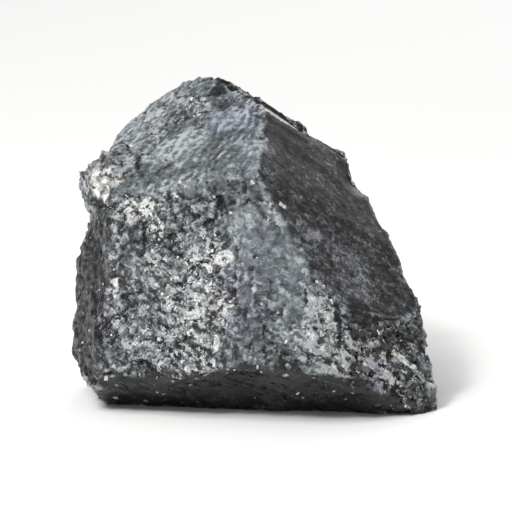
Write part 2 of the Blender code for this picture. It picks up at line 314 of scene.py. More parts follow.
VIOLET_PATCHES = (
    ((-2.6, -4.0, 46.4), 4.2, 0.9),
    ((-6.0, -3.5, 46.0), 3.0, 0.5),
    ((0.2, -23.3, 29.0), 2.6, 0.7),
    ((-0.6, -24.2, 24.0), 3.6, 1.0),
    ((-1.2, -25.3, 18.0), 3.4, 0.8),
    ((-26.0, -14.0, 14.0), 7.0, 0.7),
    ((-25.7, -12.0, 18.6), 4.0, 0.8),
    ((19.5, -23.6, 7.0), 3.4, 0.7),
    ((-22.0, 12.0, 24.0), 6.0, 0.6),
)
SMOOTH_PATCHES = (
    ((-9.0, -18.0, 37.5), 3.5, 0.8),
    ((6.2, -24.3, 27.2), 5.5, 1.0),
    ((-3.0, -14.0, 42.0), 9.0, 0.7),
    ((-1.5, -23.0, 30.0), 4.5, 0.9),
    ((6.0, -26.0, 20.0), 3.5, 0.7),
    ((-19.0, -17.5, 25.5), 3.2, 0.8),
)

# Where the edges between the faces are worn round.
WORN_PATCHES = (
    ((-16.5, -15.5, 38.0), 5.0, 1.0),
    ((-10.0, -18.0, 37.5), 5.0, 1.0),
    ((-4.0, -20.0, 38.5), 4.0, 0.8),
    ((-14.0, -4.0, 45.0), 5.0, 0.8),
    ((-27.0, -15.0, 20.0), 5.0, 0.6),
    ((-22.0, -10.0, 40.0), 3.0, 0.7),
)

# The ridge behind the prism faces is much darker than the rest, a painted shade, and has a sharper
# border.
RIDGE_LOOK = {"ridge": (0.0, -2.4)}

# Where the feldspar is nearly pure, inside its lobes: centre and reach along X, Y and Z.
FELDSPAR_CORE = ((-23.3, -10.5, 35.8), (4.8, 5.5, 3.0))

# ---- Relief, in mm -------------------------------------------------------------------------------------

# How near its edge a face bends over to the next one.
EDGE_REACH = 0.55

# Normals whose dot product is above this are of one face.
SAME_FACE = 0.9985

# A face counts as the foot, or takes its look from a table, where the dot product is above this.
KNOWN_FACE = 0.999

# Prism faces have normals whose dot product with the axis is below this.
SQUARE_TO_AXIS = 0.09

# Where faces meet, a point moves towards each face's height this many times, by this share of the gap.
MEETING_ROUNDS = 9
MEETING_SHARE = 0.7

# Lumps of the faces: width and height. Those of the prism faces are drawn out along the axis.
FRACTURE_LUMPS = (7.0, 0.5)
PRISM_LUMPS = (2.6, 0.22)
PRISM_LUMP_LENGTH = 42

# Broken grain: width, seed, tilt, step from grain to grain, and how much longer along the axis.
FRACTURE_GRAIN = {
    "broad": (8.5, 2, 0.05, 0.30, 1.4),
    "coarse": (4.2, 3, 0.16, 0.12, 1.6),
    "medium": (1.9, 5, 0.24, 0.12, 1.8),
    "fine": (1.0, 7, 0.22, 0.07, 1.5),
}
KNOB_GRAIN = (2.6, 23, 0.22, 0.16, 1.0)
GROWTH_LINES = (
    (2.1, 17, 0.07, 0.05, 22),
    (0.8, 19, 0.1, 0.03, 14),
)
GROWTH_LINE_DEPTH = 0.2

# The random draws of the grains come from a table of this many rows.
GRAIN_DRAWS = 4099
HASH_PRIMES = np.array((73856093, 19349663, 83492791))

# Noise that makes borders wander: width of its lumps, and a seed for each axis.
UNEVEN = (1.3, (41, 43, 47))
ADRIFT = (3.4, (53, 59, 61))

# How far the uneven noise bends the grains, and how far each of the two bends a patch's border.
GRAIN_BEND = 0.35
BORDER_BEND = (0.9, 3.0)

# Ripples of the smooth brow: the way they follow one another, their spacing and their height.
RIPPLE_AIM = (50, 24)
RIPPLE_SPACING = 1.5
RIPPLE_HEIGHT = 0.03

# Edges of this height over their surroundings crumble fully.
SHARP_EDGE = 0.18

# Rounds of smoothing where the edges are worn, and the share of one round that the whole block gets.
WORN_ROUNDS = 50
LAST_SMOOTHING = 0.3

# Rims and hollows are found at two sizes: rounds of smoothing, and the height that counts in full.
NEAR_RELIEF = (3, 0.05)
WIDE_RELIEF = (14, 0.25)

# The dressed block stays this far inside the solid's box.
CLEARANCE = 0.01

# Loose grains: the seeds of their places and their shapes, and how many shapes there are.
GRAIN_SEED = 29
SHARD_SEED = 31
SHARD_KINDS = 12

# ---- Stage ---------------------------------------------------------------------------------------------

# What the lights and the camera point at, in metres.
LIGHT_TARGET = Vector((0, 0, 0.022))
CAMERA_TARGET = Vector((0.0004, -0.0004, 0.0225))

# Soft lights: azimuth and elevation, distance and side in metres, and share of the key light's power.
LIGHTS = {
    "key_light": ((-38, 50), 0.62, 0.30, 0.7),
    "glint_light": ((-30, 44), 0.75, 0.09, 0.55),
    "back_light": ((165, 38), 0.8, 0.40, 0.5),
}


# ---- Small helpers -------------------------------------------------------------------------------------


def linear(code):
    """The linear colour of an sRGB hex code such as #8a8c90, with an alpha of 1."""
    parts = [int(code[index : index + 2], 16) / 255 for index in (1, 3, 5)]
    return [part / 12.92 if part <= 0.04045 else ((part + 0.055) / 1.055) ** 2.4 for part in parts] + [1]


def direction(azimuth, elevation):
    """Unit vector at this azimuth and elevation, in degrees."""
    turn = math.radians(azimuth)
    rise = math.radians(elevation)
    flat = math.cos(rise)
    return Vector((math.sin(turn) * flat, -math.cos(turn) * flat, math.sin(rise)))


AXIS = direction(*AXIS_AIM)
AXIS_UP = (Vector((0, 0, 1)) - AXIS * AXIS.z).normalized()


def prism_normal(turn):
    """The way the prism face at this turn about the axis looks."""
    return (Matrix.Rotation(math.radians(turn), 3, AXIS) @ AXIS_UP).normalized()


def add_node(tree, kind, settings=None, inputs=None):
    """Adds a shader node, with its settings, and its inputs fed from values or other nodes' outputs."""
    made = tree.nodes.new(kind)
    for key, value in (settings or {}).items():
        if key != "stops":
            setattr(made, key, value)
            continue
        elements = made.color_ramp.elements
        while len(elements) < len(value):
            elements.new(0.5)
        for element, (place, colour) in zip(elements, value):
            element.position = place
            element.color = colour
    for key, value in (inputs or {}).items():
        if isinstance(value, bpy.types.NodeSocket):
            tree.links.new(value, made.inputs[key])
        else:
            made.inputs[key].default_value = value
    return made


def new_material(name):
    """A material with only its Principled shader, wired to the output."""
    material = bpy.data.materials.new(name)
    material.use_nodes = True
    tree = material.node_tree
    tree.nodes.clear()
    shader = add_node(tree, "ShaderNodeBsdfPrincipled")
    add_node(tree, "ShaderNodeOutputMaterial", {}, {"Surface": shader.outputs[0]})
    return material, tree, shader


def show_object(name, data):
    """A new object in the scene with this mesh, light or camera."""
    obj = bpy.data.objects.new(name, data)
    bpy.context.scene.collection.objects.link(obj)
    return obj


# ---- The block's flat-faced form -----------------------------------------------------------------------


def cut(bm, point, normal):
    """Cuts away what lies beyond the plane and closes the opening with one face."""
    everything = bm.verts[:] + bm.edges[:] + bm.faces[:]
    made = bmesh.ops.bisect_plane(
        bm, geom=everything, dist=1e-4, plane_co=point, plane_no=normal, clear_outer=True
    )
    rim = [item for item in made["geom_cut"] if isinstance(item, bmesh.types.BMEdge)]
    if rim:
        bmesh.ops.contextual_create(bm, geom=rim)


def block_form():
    """The cube cut down by the foot, the prism faces and the fractures."""
    bm = bmesh.new()
    bmesh.ops.create_cube(bm, size=ROUGH_CUBE)
    cut(bm, Vector((0, 0, 0)), Vector((0, 0, -1)))
    for turn, reach in PRISM_FACES.values():
        normal = prism_normal(turn)
        cut(bm, CORE + normal * reach, normal)
    for azimuth, elevation, reach in FRACTURES.values():
        normal = direction(azimuth, elevation)
        cut(bm, CORE + normal * reach, normal)
    bm.normal_update()
    return bm


def lobe_form(centre, reach, faces, rng):
    """One lobe of the feldspar knob, a small cube cut down by planes that look every way."""
    bm = bmesh.new()
    middle = Vector(centre)
    bmesh.ops.create_cube(bm, size=LOBE_CUBE, matrix=Matrix.Translation(middle))
    for index in range(faces):
        height = 1 - 2 * (index + 0.5) / faces
        turn = index * GOLDEN_ANGLE + rng.uniform(-LOBE_STRAY, LOBE_STRAY)
        normal = direction(turn, math.degrees(math.asin(height)))
        length = Vector([normal[axis] * reach[axis] for axis in range(3)]).length
        cut(bm, middle + normal * length * rng.uniform(*LOBE_SHARE), normal)
    return bm


def groove_form():
    """Long square bars laid along the axis with one edge inwards, all in one mesh."""
    bm = bmesh.new()
    for turn, reach, half_width in GROOVES:
        normal = prism_normal(turn)
        across = AXIS.cross(normal).normalized()
        turned = Matrix((AXIS, across, normal)).transposed().to_4x4()
        tilt = Matrix.Rotation(math.radians(45), 4, "X")
        side = half_width * math.sqrt(2)
        place = Matrix.Translation(CORE + normal * (reach + half_width)) @ turned @ tilt
        bar = Matrix.Diagonal((GROOVE_LENGTH, side, side, 1))
        bmesh.ops.create_cube(bm, size=1, matrix=place @ bar)
    return bm


def ledge_form(point, upper, outer):
    """A block that fills the outside corner between two planes through the point."""
    bm = bmesh.new()
    corner = Vector(point)
    bmesh.ops.create_cube(bm, size=LEDGE_CUBE, matrix=Matrix.Translation(corner))
    cut(bm, corner, -direction(*upper))
    cut(bm, corner, -direction(*outer))
    return bm


def chip_form(block, rng):
    """Rough balls just off the block's sharp edges; cutting them out leaves shell-shaped chips."""
    edges = [edge for edge in block.edges if edge.calc_face_angle(0) > CHIP_LEAST_ANGLE]
    edges.sort(key=lambda edge: tuple(round(value, 3) for value in edge.verts[0].co + edge.verts[1].co))
    lengths = [edge.calc_length() for edge in edges]
    bm = bmesh.new()
    for edge in rng.choices(edges, lengths, k=CHIPS):
        start, end = (vert.co for vert in edge.verts)
        spot = start.lerp(end, rng.uniform(0.04, 0.96))
        outward = (edge.link_faces[0].normal + edge.link_faces[1].normal).normalized()
        side = (end - start).normalized()
        radius = rng.uniform(*CHIP_RADIUS)
        depth = rng.uniform(*CHIP_DEPTH)
        lean = Matrix.Rotation(rng.uniform(-0.5, 0.5), 3, side) @ outward
        if spot.z < CHIP_LEAST_HEIGHT:
            continue
        turn = Matrix.Rotation(rng.uniform(0, 6.28), 4, side)
        place = Matrix.Translation(spot + lean * (radius - depth)) @ turn
        bmesh.ops.create_icosphere(bm, subdivisions=2, radius=radius, matrix=place)
    return bm


def mesh_of(bm):
    """The form as a mesh whose faces point outwards."""
    bmesh.ops.recalc_face_normals(bm, faces=bm.faces[:])
    mesh = bpy.data.meshes.new("form")
    bm.to_mesh(mesh)
    bm.free()
    return mesh


def applied(obj):
    """The object's mesh with its modifiers applied."""
    graph = bpy.context.evaluated_depsgraph_get()
    graph.update()
    return bpy.data.meshes.new_from_object(obj.evaluated_get(graph))


def boolean(obj, bm, operation):
    """Joins or cuts with an exact Boolean, and keeps the result as the object's mesh."""
    other = show_object("cutter", mesh_of(bm))
    modifier = obj.modifiers.new(operation.title(), "BOOLEAN")
    modifier.object = other
    modifier.operation = operation
    modifier.solver = "EXACT"
    modifier.use_self = True
    result = applied(obj)
    obj.modifiers.remove(modifier)
    obj.data = result
    bpy.data.objects.remove(other)


def flat_faced_block():
    """The whole stone in mm with flat faces, from the same planes and draws as the solid."""
    rng = random.Random(SEED)
    block = block_form()
    chips = chip_form(block, rng)
    obj = show_object("tourmaline_block", mesh_of(block))
    boolean(obj, groove_form(), "DIFFERENCE")
    for ledge in LEDGES:
        boolean(obj, ledge_form(*ledge), "DIFFERENCE")
    for lobe in KNOB_LOBES:
        boolean(obj, lobe_form(*lobe, rng), "UNION")
    boolean(obj, chips, "DIFFERENCE")
    return obj


# ---- Relief --------------------------------------------------------------------------------------------


def is_prism(normal):
    """Whether a face lies along the crystal's axis."""
    return abs(normal.dot(AXIS)) < SQUARE_TO_AXIS


def is_foot(normal):
    """Whether a face is the one that the block rests on."""
    return normal.z < -KNOWN_FACE


def face_height(place, normal):
    """Broad lumps and shallow scars of a face, as a height in mm."""
    if is_foot(normal):
        return 0.0
    seed = Vector(round(value * 3) for value in normal) * 7.3
    if is_prism(normal):
        width, height = PRISM_LUMPS
        along = AXIS * place.dot(AXIS)
        height *= noise.noise((place - along) / width + along / PRISM_LUMP_LENGTH + seed)
    else:
        width, height = FRACTURE_LUMPS
        height *= noise.noise(place / width + seed)
    for centre, radius, deepest in SCARS:
        gap = (place - Vector(centre)).length / radius
        if gap < 1:
            height -= deepest * (1 - gap * gap) ** 1.5
    return height


def broad_relief(points, tree):
    """Moves each point so that it keeps to the lumpy surface of every face near it.

    Returns the moved points, and 1 for each that only prism faces are near, 0 for the others.
    """
    moved = points.copy()
    prism = np.zeros(len(points))
    for index, point in enumerate(points):
        place = Vector(point)
        normals = []
        beside = []
        for _, normal, _, distance in tree.find_nearest_range(place, EDGE_REACH):
            if all(normal.dot(other) < SAME_FACE for other in normals):
                normals.append(normal)
            if distance < EDGE_REACH and not is_foot(normal):
                beside.append(is_prism(normal))
        prism[index] = bool(beside) and all(beside)
        if not normals:
            normals = [tree.find_nearest(place)[1]]
        heights = [(normal, face_height(place, normal)) for normal in normals]
        rounds, share = (1, 1.0) if len(heights) == 1 else (MEETING_ROUNDS, MEETING_SHARE)
        move = Vector()
        for _ in range(rounds):
            for normal, height in heights:
                move += normal * (height - move.dot(normal)) * share
        moved[index] = place + move
    return moved, prism


def face_looks(points, tree, table):
    """How smooth and how light the face nearest to each point is, as the table of looks says."""
    known_faces = [(direction(*FRACTURES[name][:2]), look) for name, look in table.items()]
    looks = np.zeros((len(points), 2))
    for index, point in enumerate(points):
        nearest = tree.find_nearest(point)[1]
        for normal, look in known_faces:
            if nearest.dot(normal) > KNOWN_FACE:
                looks[index] = look
    return looks


def broken_grain(points, width, seed, tilt, step, stretch):
    """Flat-topped grains about this many mm wide, and longer along the axis by stretch.

    Each one is tilted and stands a little high or low, as its own draws say. Returns the height at each
    point in mm, and one more draw of the grain that the point is on.
    """
    axis = np.array(AXIS)
    along = points @ axis
    spots = (points - np.outer(along, axis) * (1 - 1 / stretch)) / width
    draws = np.random.default_rng(seed).random((GRAIN_DRAWS, 6))
    base = np.floor(spots).astype(np.int64)
    nearest = np.full(len(points), np.inf)
    offset = np.zeros((len(points), 3))
    draw = np.zeros((len(points), 3))
    for shift in np.ndindex(3, 3, 3):
        cell = base + np.array(shift) - 1
        slot = np.bitwise_xor.reduce(cell * HASH_PRIMES, axis=1) % GRAIN_DRAWS
        gap = spots - cell - draws[slot, :3]
        distance = np.linalg.norm(gap, axis=1)
        nearer = distance < nearest
        nearest = np.where(nearer, distance, nearest)
        offset[nearer] = gap[nearer]
        draw[nearer] = draws[slot[nearer], 3:]
    lean = ((draw * 2 - 1) * offset).sum(axis=1) * tilt * width
    return lean + (draw[:, 0] - 0.5) * step, draw[:, 1]


def read(items, name, size=1, kind=float):
    """One property of every vertex or edge of a mesh, as an array with a row for each."""
    values = np.empty(len(items) * size, kind)
    items.foreach_get(name, values)
    return values.reshape(-1, size) if size > 1 else values


class Surface:
    """The points of a mesh with what is needed to smooth over them and to move them along its normals."""

    def __init__(self, mesh):
        self.mesh = mesh
        self.points = read(mesh.vertices, "co", 3)
        self.edges = read(mesh.edges, "vertices", 2, np.int64)
        self.degree = np.bincount(self.edges.ravel(), minlength=len(self.points)).astype(float)

    def around(self, values):
        """The mean of each value's neighbours."""
        first, second = self.edges.T
        count = len(self.points)
        if values.ndim == 1:
            total = np.bincount(first, values[second], count) + np.bincount(second, values[first], count)
            return total / self.degree
        return np.stack([self.around(values[:, axis]) for axis in range(values.shape[1])], axis=1)

    def blurred(self, values, times):
        """The values after each has been drawn half-way to its neighbours' mean, over and over."""
        for _ in range(times):
            values = (values + self.around(values)) / 2
        return values

    def write(self):
        """Puts the points back into the mesh."""
        self.mesh.vertices.foreach_set("co", self.points.ravel())
        self.mesh.update()

    def normals(self):
        """The way the surface looks at each point."""
        self.write()
        return read(self.mesh.vertices, "normal", 3)

    def bulge(self, times):
        """How far each point stands out from its surroundings, in mm: above 0 on a ridge."""
        gap = self.points - self.blurred(self.points, times)
        return (gap * self.normals()).sum(axis=1)

    def keep(self, name, values):
        """Stores one value for each point, which the material reads by this name."""
        attribute = self.mesh.attributes.new(name, "FLOAT", "POINT")
        attribute.data.foreach_set("value", values.astype(np.float32))


def patches(points, table):
    """How much each point lies in a table of soft patches: the strongest of the patches around it.

    A patch has its full strength up to half its radius, and fades out at 1.3 times its radius.
    """
    total = np.zeros(len(points))
    for centre, radius, strength in table:
        gap = np.linalg.norm(points - np.array(centre), axis=1) / radius
        here = strength * np.clip((1.3 - gap) / 0.8, 0, 1)
        total = np.where(np.abs(here) > np.abs(total), here, total)
    return total


def line_share(points, half_width, stops):
    """How far each point lies into a crooked line through the stops: 1 on it, 0 beyond its half width."""
    nearest = np.full(len(points), np.inf)
    for start, end in zip(np.array(stops), np.array(stops[1:])):
        way = end - start
        share = np.clip((points - start) @ way / (way @ way), 0, 1)
        nearest = np.minimum(nearest, np.linalg.norm(points - start - np.outer(share, way), axis=1))
    return np.clip(1 - nearest / half_width, 0, 1)


def crack_depth(points, unevenness):
    """How deep the cracks and broken steps cut at each point, in mm."""
    cuts = [line_share(points, half_width, stops) ** 0.8 * depth for half_width, depth, stops in CRACKS]
    return np.max(cuts, axis=0) * unevenness


def dust_and_shading_tone(points):
    """How much lighter or darker each point is: pale dust spots, painted shadow and painted highlight."""
    total = np.zeros(len(points))
    for half_width, tone, stops in DUST_AND_SHADING_LINES:
        total += np.minimum(1, 3 * line_share(points, half_width, stops)) * tone
    return total


def in_knob(points):
    """How deep each point lies inside the feldspar's lobes: 1 inside, 0 outside."""
    deepest = np.full(len(points), np.inf)
    for centre, reach, _ in KNOB_LOBES:
        gap = np.linalg.norm((points - np.array(centre)) / np.array(reach), axis=1)
        deepest = np.minimum(deepest, gap)
    return np.clip((1.16 - deepest) / 0.12, 0, 1)


def in_feldspar(points, ragged):
    """Where the knob is feldspar rather than stone: a ragged pocket in its lobes."""
    centre, reach = (np.array(values) for values in FELDSPAR_CORE)
    gap = np.linalg.norm((points - centre) / reach, axis=1)
    return in_knob(points) * np.clip((1.12 + 0.35 * ragged - gap) / 0.3, 0, 1)


def noise_field(points, width, seed):
    """Smooth noise with lumps of this width in mm, about -1 to 1."""
    shift = Vector((seed, seed * 2, -seed))
    return np.array([noise.noise(Vector(point) / width + shift) for point in points])


def wandering(points, width, seeds):
    """Smooth noise with a value for each axis."""
    return np.stack([noise_field(points, width, seed) for seed in seeds], axis=1)


# ---- Properties ----------------------------------------------------------------------------------------


def colour_setting(name, description, code):
    """A colour that the user can change, which starts as this sRGB hex code."""
    return FloatVectorProperty(
        name=name,
        description=description,
        default=linear(code),
        size=4,
        min=0,
        max=1,
        subtype="COLOR",
    )


class TourmalineShape(bpy.types.PropertyGroup):
    """Sizes of the block's fine relief."""

    mesh_size: FloatProperty(
        name="Mesh Size",
        description="Side of the even quads that carry the relief",
        default=0.362 * MM,
        min=0.3 * MM,
        max=1 * MM,
        precision=5,
        unit="LENGTH",
    )
    grain_depth: FloatProperty(
        name="Grain Depth",
        description="How deep the broken grain of the fractures is, as a share of its usual depth",
        default=1.0,
        min=0.0,
        max=2.0,
        subtype="FACTOR",
    )
    line_depth: FloatProperty(
        name="Growth Line Depth",
        description="How deep the growth lines of the prism faces are, as a share of their usual depth",
        default=1.0,
        min=0.0,
        max=2.0,
        subtype="FACTOR",
    )
    edge_wear: FloatProperty(
        name="Edge Wear",
        description="How far the sharp edges are crumbled back",
        default=0.16 * MM,
        min=0.0,
        max=1 * MM,
        precision=5,
        unit="LENGTH",
    )


class TourmalineFinish(bpy.types.PropertyGroup):
    """Colours of the block and its grains."""

    dark_stone: colour_setting("Dark Stone", "Fresh black tourmaline, as on the prism faces", "#2c2c2e")
    grey_stone: colour_setting("Grey Stone", "Crushed tourmaline on the fractures", "#686c6f")
    pale_dust: colour_setting(
        "Pale Dust", "Crushed feldspar and mica ground into the fractures", "#eaeae7"
    )
    feldspar: colour_setting("Feldspar", "The pale knob and grains", "#bcbbb8")
    violet_film: colour_setting("Violet Film", "Faint violet film on some faces", "#6a6482")


class TourmalineGrains(bpy.types.PropertyGroup):
    """The loose grains of mica and feldspar."""

    count: IntProperty(
        name="Grains",
        description="How many grains are stuck on the block",
        default=900,
        min=0,
        max=6000,
    )
    smallest: FloatProperty(
        name="Smallest Grain",
        description="Width of the smallest grain",
        default=0.22 * MM,
        min=0.1 * MM,
        max=1 * MM,
        precision=5,
        unit="LENGTH",
    )
    largest: FloatProperty(
        name="Largest Grain",
        description="Width of the largest grain",
        default=0.9 * MM,
        min=0.2 * MM,
        max=3 * MM,
        precision=5,
        unit="LENGTH",
    )


class TourmalineStage(bpy.types.PropertyGroup):
    """Floor, lights and camera."""

    floor_colour: colour_setting("Floor Colour", "Matt white board that the block stands on", "#f6f6f5")
    floor_size: FloatProperty(
        name="Floor Size",
        description="Side of the square floor",
        default=5.0,
        min=1.0,
        max=20.0,
        unit="LENGTH",
    )
    camera_distance: FloatProperty(
        name="Camera Distance",
        description="From the lens to the block",
        default=0.68,
        min=0.2,
        max=5.0,
        unit="LENGTH",
    )
    camera_elevation: FloatProperty(
        name="Camera Elevation",
        description="How far the camera looks down",
        default=math.radians(12),
        min=0.0,
        max=math.radians(80),
        unit="ROTATION",
    )
    focal_length: FloatProperty(
        name="Focal Length",
        description="Of the camera's lens, on a 36 mm wide sensor",
        default=295.0,
        min=20.0,
        max=600.0,
        unit="CAMERA",
    )
    key_power: FloatProperty(
        name="Key Light Power",
        description="Power of the soft light at the upper left",
        default=3.6,
        min=0.0,
        max=100.0,
        unit="POWER",
    )
    sky_strength: FloatProperty(
        name="Surround Strength",
        description="Brightness of the white surround",
        default=0.42,
        min=0.0,
        max=5.0,
        subtype="FACTOR",
    )


# ---- Materials -----------------------------------------------------------------------------------------

COLOURS = {"data_type": "RGBA"}
EASED = {"interpolation_type": "SMOOTHSTEP"}
ADD_UP = {"operation": "MULTIPLY_ADD"}
MULTIPLY = {"operation": "MULTIPLY"}

# Sockets of a Mix node of colours: how much of the second colour, the two colours, and the result.
SHARE, FIRST, SECOND, MIXED = 0, 6, 7, 2


def per_mm(width):
    """Texture scale for a pattern whose cells are this many mm wide."""
    return 1 / (width * MM)


def layered(tree, start, *layers):
    """Adds layers to a starting value, each layer a socket or number times its weight."""
    total = start
    for source, weight in layers:
        total = add_node(tree, "ShaderNodeMath", ADD_UP, {0: source, 1: weight, 2: total}).outputs[0]
    return total


def broken_facets(tree, coords, width):
    """Small facets about this many mm wide: a random colour for each, whole and split in three."""
    facets = add_node(tree, "ShaderNodeTexVoronoi", {}, {"Vector": coords, "Scale": per_mm(width)})
    split = add_node(tree, "ShaderNodeSeparateColor", {}, {"Color": facets.outputs["Color"]})
    return facets.outputs["Color"], split.outputs


def nudged(tree, vector, colour, most):
    """The vector after each facet's colour nudges it its own way, by up to half of this much."""
    centred = {0: colour, 1: (0.5, 0.5, 0.5)}
    centred = add_node(tree, "ShaderNodeVectorMath", {"operation": "SUBTRACT"}, centred).outputs[0]
    return add_node(tree, "ShaderNodeVectorMath", ADD_UP, {0: centred, 1: most, 2: vector}).outputs[0]


def stone_material(finish):
    """Schorl, the black tourmaline, broken and dusty, with feldspar grown on it.

    Schorl is glassy and near black, so its prism faces look dark, with fine lines along them. A fracture
    is a mass of small facets that lean every way, full of crushed powder: mid grey, with bright and dark
    specks. Where feldspar is ground in, the specks are chalky.
    """
    material, tree, shader = new_material("Fractured schorl with feldspar")
    coords = add_node(tree, "ShaderNodeTexCoord").outputs["Object"]
    marks = {
        name: add_node(tree, "ShaderNodeAttribute", {"attribute_name": name}).outputs["Fac"]
        for name in ("prism", "feldspar", "hollow", "rim", "pale", "violet", "smooth", "tone", "grain")
    }

    # Crooked coordinates make the outlines of the broken facets ragged. Two more sets of coordinates have
    # the crystal's axis as Z, and draw a pattern out along it, a little or far.
    warp = {"Vector": coords, "Scale": per_mm(0.9), "Detail": 3.0, "Roughness": 0.6}
    warp = add_node(tree, "ShaderNodeTexNoise", {}, warp).outputs["Color"]
    crooked = nudged(tree, coords, warp, (0.9 * MM,) * 3)
    turn = AXIS.to_track_quat("Z", "Y").to_euler()
    along = []
    for start, stretch in ((crooked, 1.7), (coords, 14)):
        place = {"Vector": start, "Rotation": turn, "Scale": (1, 1, stretch)}
        along.append(add_node(tree, "ShaderNodeMapping", {"vector_type": "TEXTURE"}, place).outputs[0])
    splintered, drawn_out = along

    # Broken facets, of these widths in mm.
    large_colour, large = broken_facets(tree, splintered, 1.3)
    small_colour, small = broken_facets(tree, splintered, 0.6)
    tiny_colour, tiny = broken_facets(tree, crooked, 0.27)
    strip_colour, strip = broken_facets(tree, drawn_out, 0.6)

    # Uneven dust and stains: the clouds' width in mm, how many finer sizes they hold, and how strongly.
    dust = {}
    for name, place, width, detail, roughness in (
        ("cloud", splintered, 4.5, 5.0, 0.6),
        ("clump", crooked, 1.7, 3.0, 0.65),
        ("powder", coords, 0.33, 3.0, 0.7),
        ("streak", drawn_out, 0.35, 3.0, 0.6),
        ("tint", coords, 9.0, 3.0, 0.6),
        ("mottle", crooked, 1.5, 4.0, 0.7),
    ):
        clouds = {"Vector": place, "Scale": per_mm(width), "Detail": detail, "Roughness": roughness}
        dust[name] = add_node(tree, "ShaderNodeTexNoise", {}, clouds).outputs[0]

    # Tone of the fracture, from fresh black glass to crushed grey powder.
    contrast = layered(tree, 1.0, (marks["smooth"], -0.52), (marks["pale"], 0.35))
    uneven = layered(
        tree,
        -0.95,
        (large[0], 0.26),
        (small[0], 0.52),
        (tiny[0], 0.36),
        (marks["grain"], 0.20),
        (dust["clump"], 0.56),
    )
    # The tone mark and the hollows bring in painted shade, and the rims a painted highlight.
    tone = layered(
        tree,
        0.41,
        (uneven, contrast),
        (dust["cloud"], 0.38),
        (marks["tone"], 0.36),
        (marks["rim"], 0.16),
        (marks["hollow"], -0.42),
    )
    steps = (
        (0.06, linear("#141416")),
        (0.32, finish["dark_stone"]),
        (0.50, linear("#505356")),
        (0.68, finish["grey_stone"]),
        (0.95, linear("#acafb1")),
    )
    fracture = add_node(tree, "ShaderNodeValToRGB", {"stops": steps}, {"Fac": tone}).outputs[0]

    # Crushed feldspar and mica: a few specks all over, and clumps in the pale patches.
    # The pale mark also holds the light lines of painted highlight, so they come out chalky too.
    specks = layered(
        tree,
        0.0,
        (marks["pale"], 0.30),
        (small[1], 0.60),
        (tiny[1], 0.18),
        (large[1], 0.08),
        (dust["clump"], 0.40),
        (dust["cloud"], 0.12),
        (marks["smooth"], -0.12),
    )
    chalky = {"Value": specks, "From Min": 1.05, "From Max": 1.14, "To Max": 0.95}
    chalky = add_node(tree, "ShaderNodeMapRange", EASED, chalky).outputs[0]
    chalk = {SHARE: tiny[2], FIRST: finish["pale_dust"], SECOND: linear("#9c9b98")}
    chalk = add_node(tree, "ShaderNodeMix", COLOURS, chalk).outputs[MIXED]
    speckled = {SHARE: chalky, FIRST: fracture, SECOND: chalk}
    fracture = add_node(tree, "ShaderNodeMix", COLOURS, speckled).outputs[MIXED]

    # A faint violet film in places, and a cool tint in clouds and on the smooth faces.
    patchy = {"Value": specks, "From Min": 0.4, "From Max": 1.0, "To Min": 0.2, "To Max": 0.5}
    patchy = add_node(tree, "ShaderNodeMapRange", EASED, patchy).outputs[0]
    patchy = add_node(tree, "ShaderNodeMath", MULTIPLY, {0: marks["violet"], 1: patchy}).outputs[0]
    film = {SHARE: patchy, FIRST: fracture, SECOND: finish["violet_film"]}
    hue = {"data_type": "RGBA", "blend_type": "COLOR"}
    fracture = add_node(tree, "ShaderNodeMix", hue, film).outputs[MIXED]
    cool = layered(tree, -0.36, (dust["tint"], 1.0), (marks["smooth"], 0.16))
    cool_tint = {SHARE: cool, FIRST: fracture, SECOND: linear("#567a80")}
    soft = {"data_type": "RGBA", "blend_type": "SOFT_LIGHT", "clamp_factor": True}
    fracture = add_node(tree, "ShaderNodeMix", soft, cool_tint).outputs[MIXED]

    # Prism faces: narrow flat strips along the axis, with dust on some of them and in drifts.
    # The drifts also take painted shade from the tone mark and the hollows, and painted highlight on
    # rims.
    drift_and_shade = layered(
        tree,
        0.0,
        (strip[0], 0.03),
        (dust["streak"], 0.06),
        (dust["mottle"], 0.60),
        (small[0], 0.20),
        (tiny[0], 0.22),
        (dust["clump"], 0.15),
        (dust["cloud"], 0.35),
        (dust["powder"], 0.20),
        (marks["tone"], 0.30),
        (marks["hollow"], -0.2),
        (marks["rim"], 0.12),
    )
    dusty_and_shaded = {"Value": drift_and_shade, "From Min": 0.70, "From Max": 1.24}
    dusty_and_shaded = add_node(tree, "ShaderNodeMapRange", EASED, dusty_and_shaded).outputs[0]
    steps = (
        (0.0, linear("#121214")),
        (0.3, finish["dark_stone"]),
        (0.7, linear("#4f5154")),
        (1.0, linear("#8a8c8e")),
    )
    prism = add_node(tree, "ShaderNodeValToRGB", {"stops": steps}, {"Fac": dusty_and_shaded}).outputs[0]
    caught = layered(tree, 0.0, (marks["pale"], 0.6), (dust["powder"], 0.5), (tiny[1], 0.3))
    caught = {"Value": caught, "From Min": 1.0, "From Max": 1.25}
    caught = add_node(tree, "ShaderNodeMapRange", EASED, caught).outputs[0]
    chalked = {SHARE: caught, FIRST: prism, SECOND: chalk}
    prism = add_node(tree, "ShaderNodeMix", COLOURS, chalked).outputs[MIXED]
    colour = {SHARE: marks["prism"], FIRST: fracture, SECOND: prism}
    colour = add_node(tree, "ShaderNodeMix", COLOURS, colour).outputs[MIXED]

    # Feldspar: white where it is pure, grey where it is stained, with black needles of schorl in it.
    cleaved = layered(
        tree,
        -0.72,
        (small[2], 0.35),
        (large[2], 0.5),
        (dust["clump"], 1.0),
        (marks["feldspar"], 0.3),
    )
    steps = (
        (0.0, linear("#252527")),
        (0.18, linear("#5b5b5b")),
        (0.42, finish["feldspar"]),
        (0.75, linear("#efefed")),
    )
    feldspar = add_node(tree, "ShaderNodeValToRGB", {"stops": steps}, {"Fac": cleaved}).outputs[0]
    colour = {SHARE: marks["feldspar"], FIRST: colour, SECOND: feldspar}
    colour = add_node(tree, "ShaderNodeMix", COLOURS, colour).outputs[MIXED]
    tree.links.new(colour, shader.inputs["Base Color"])

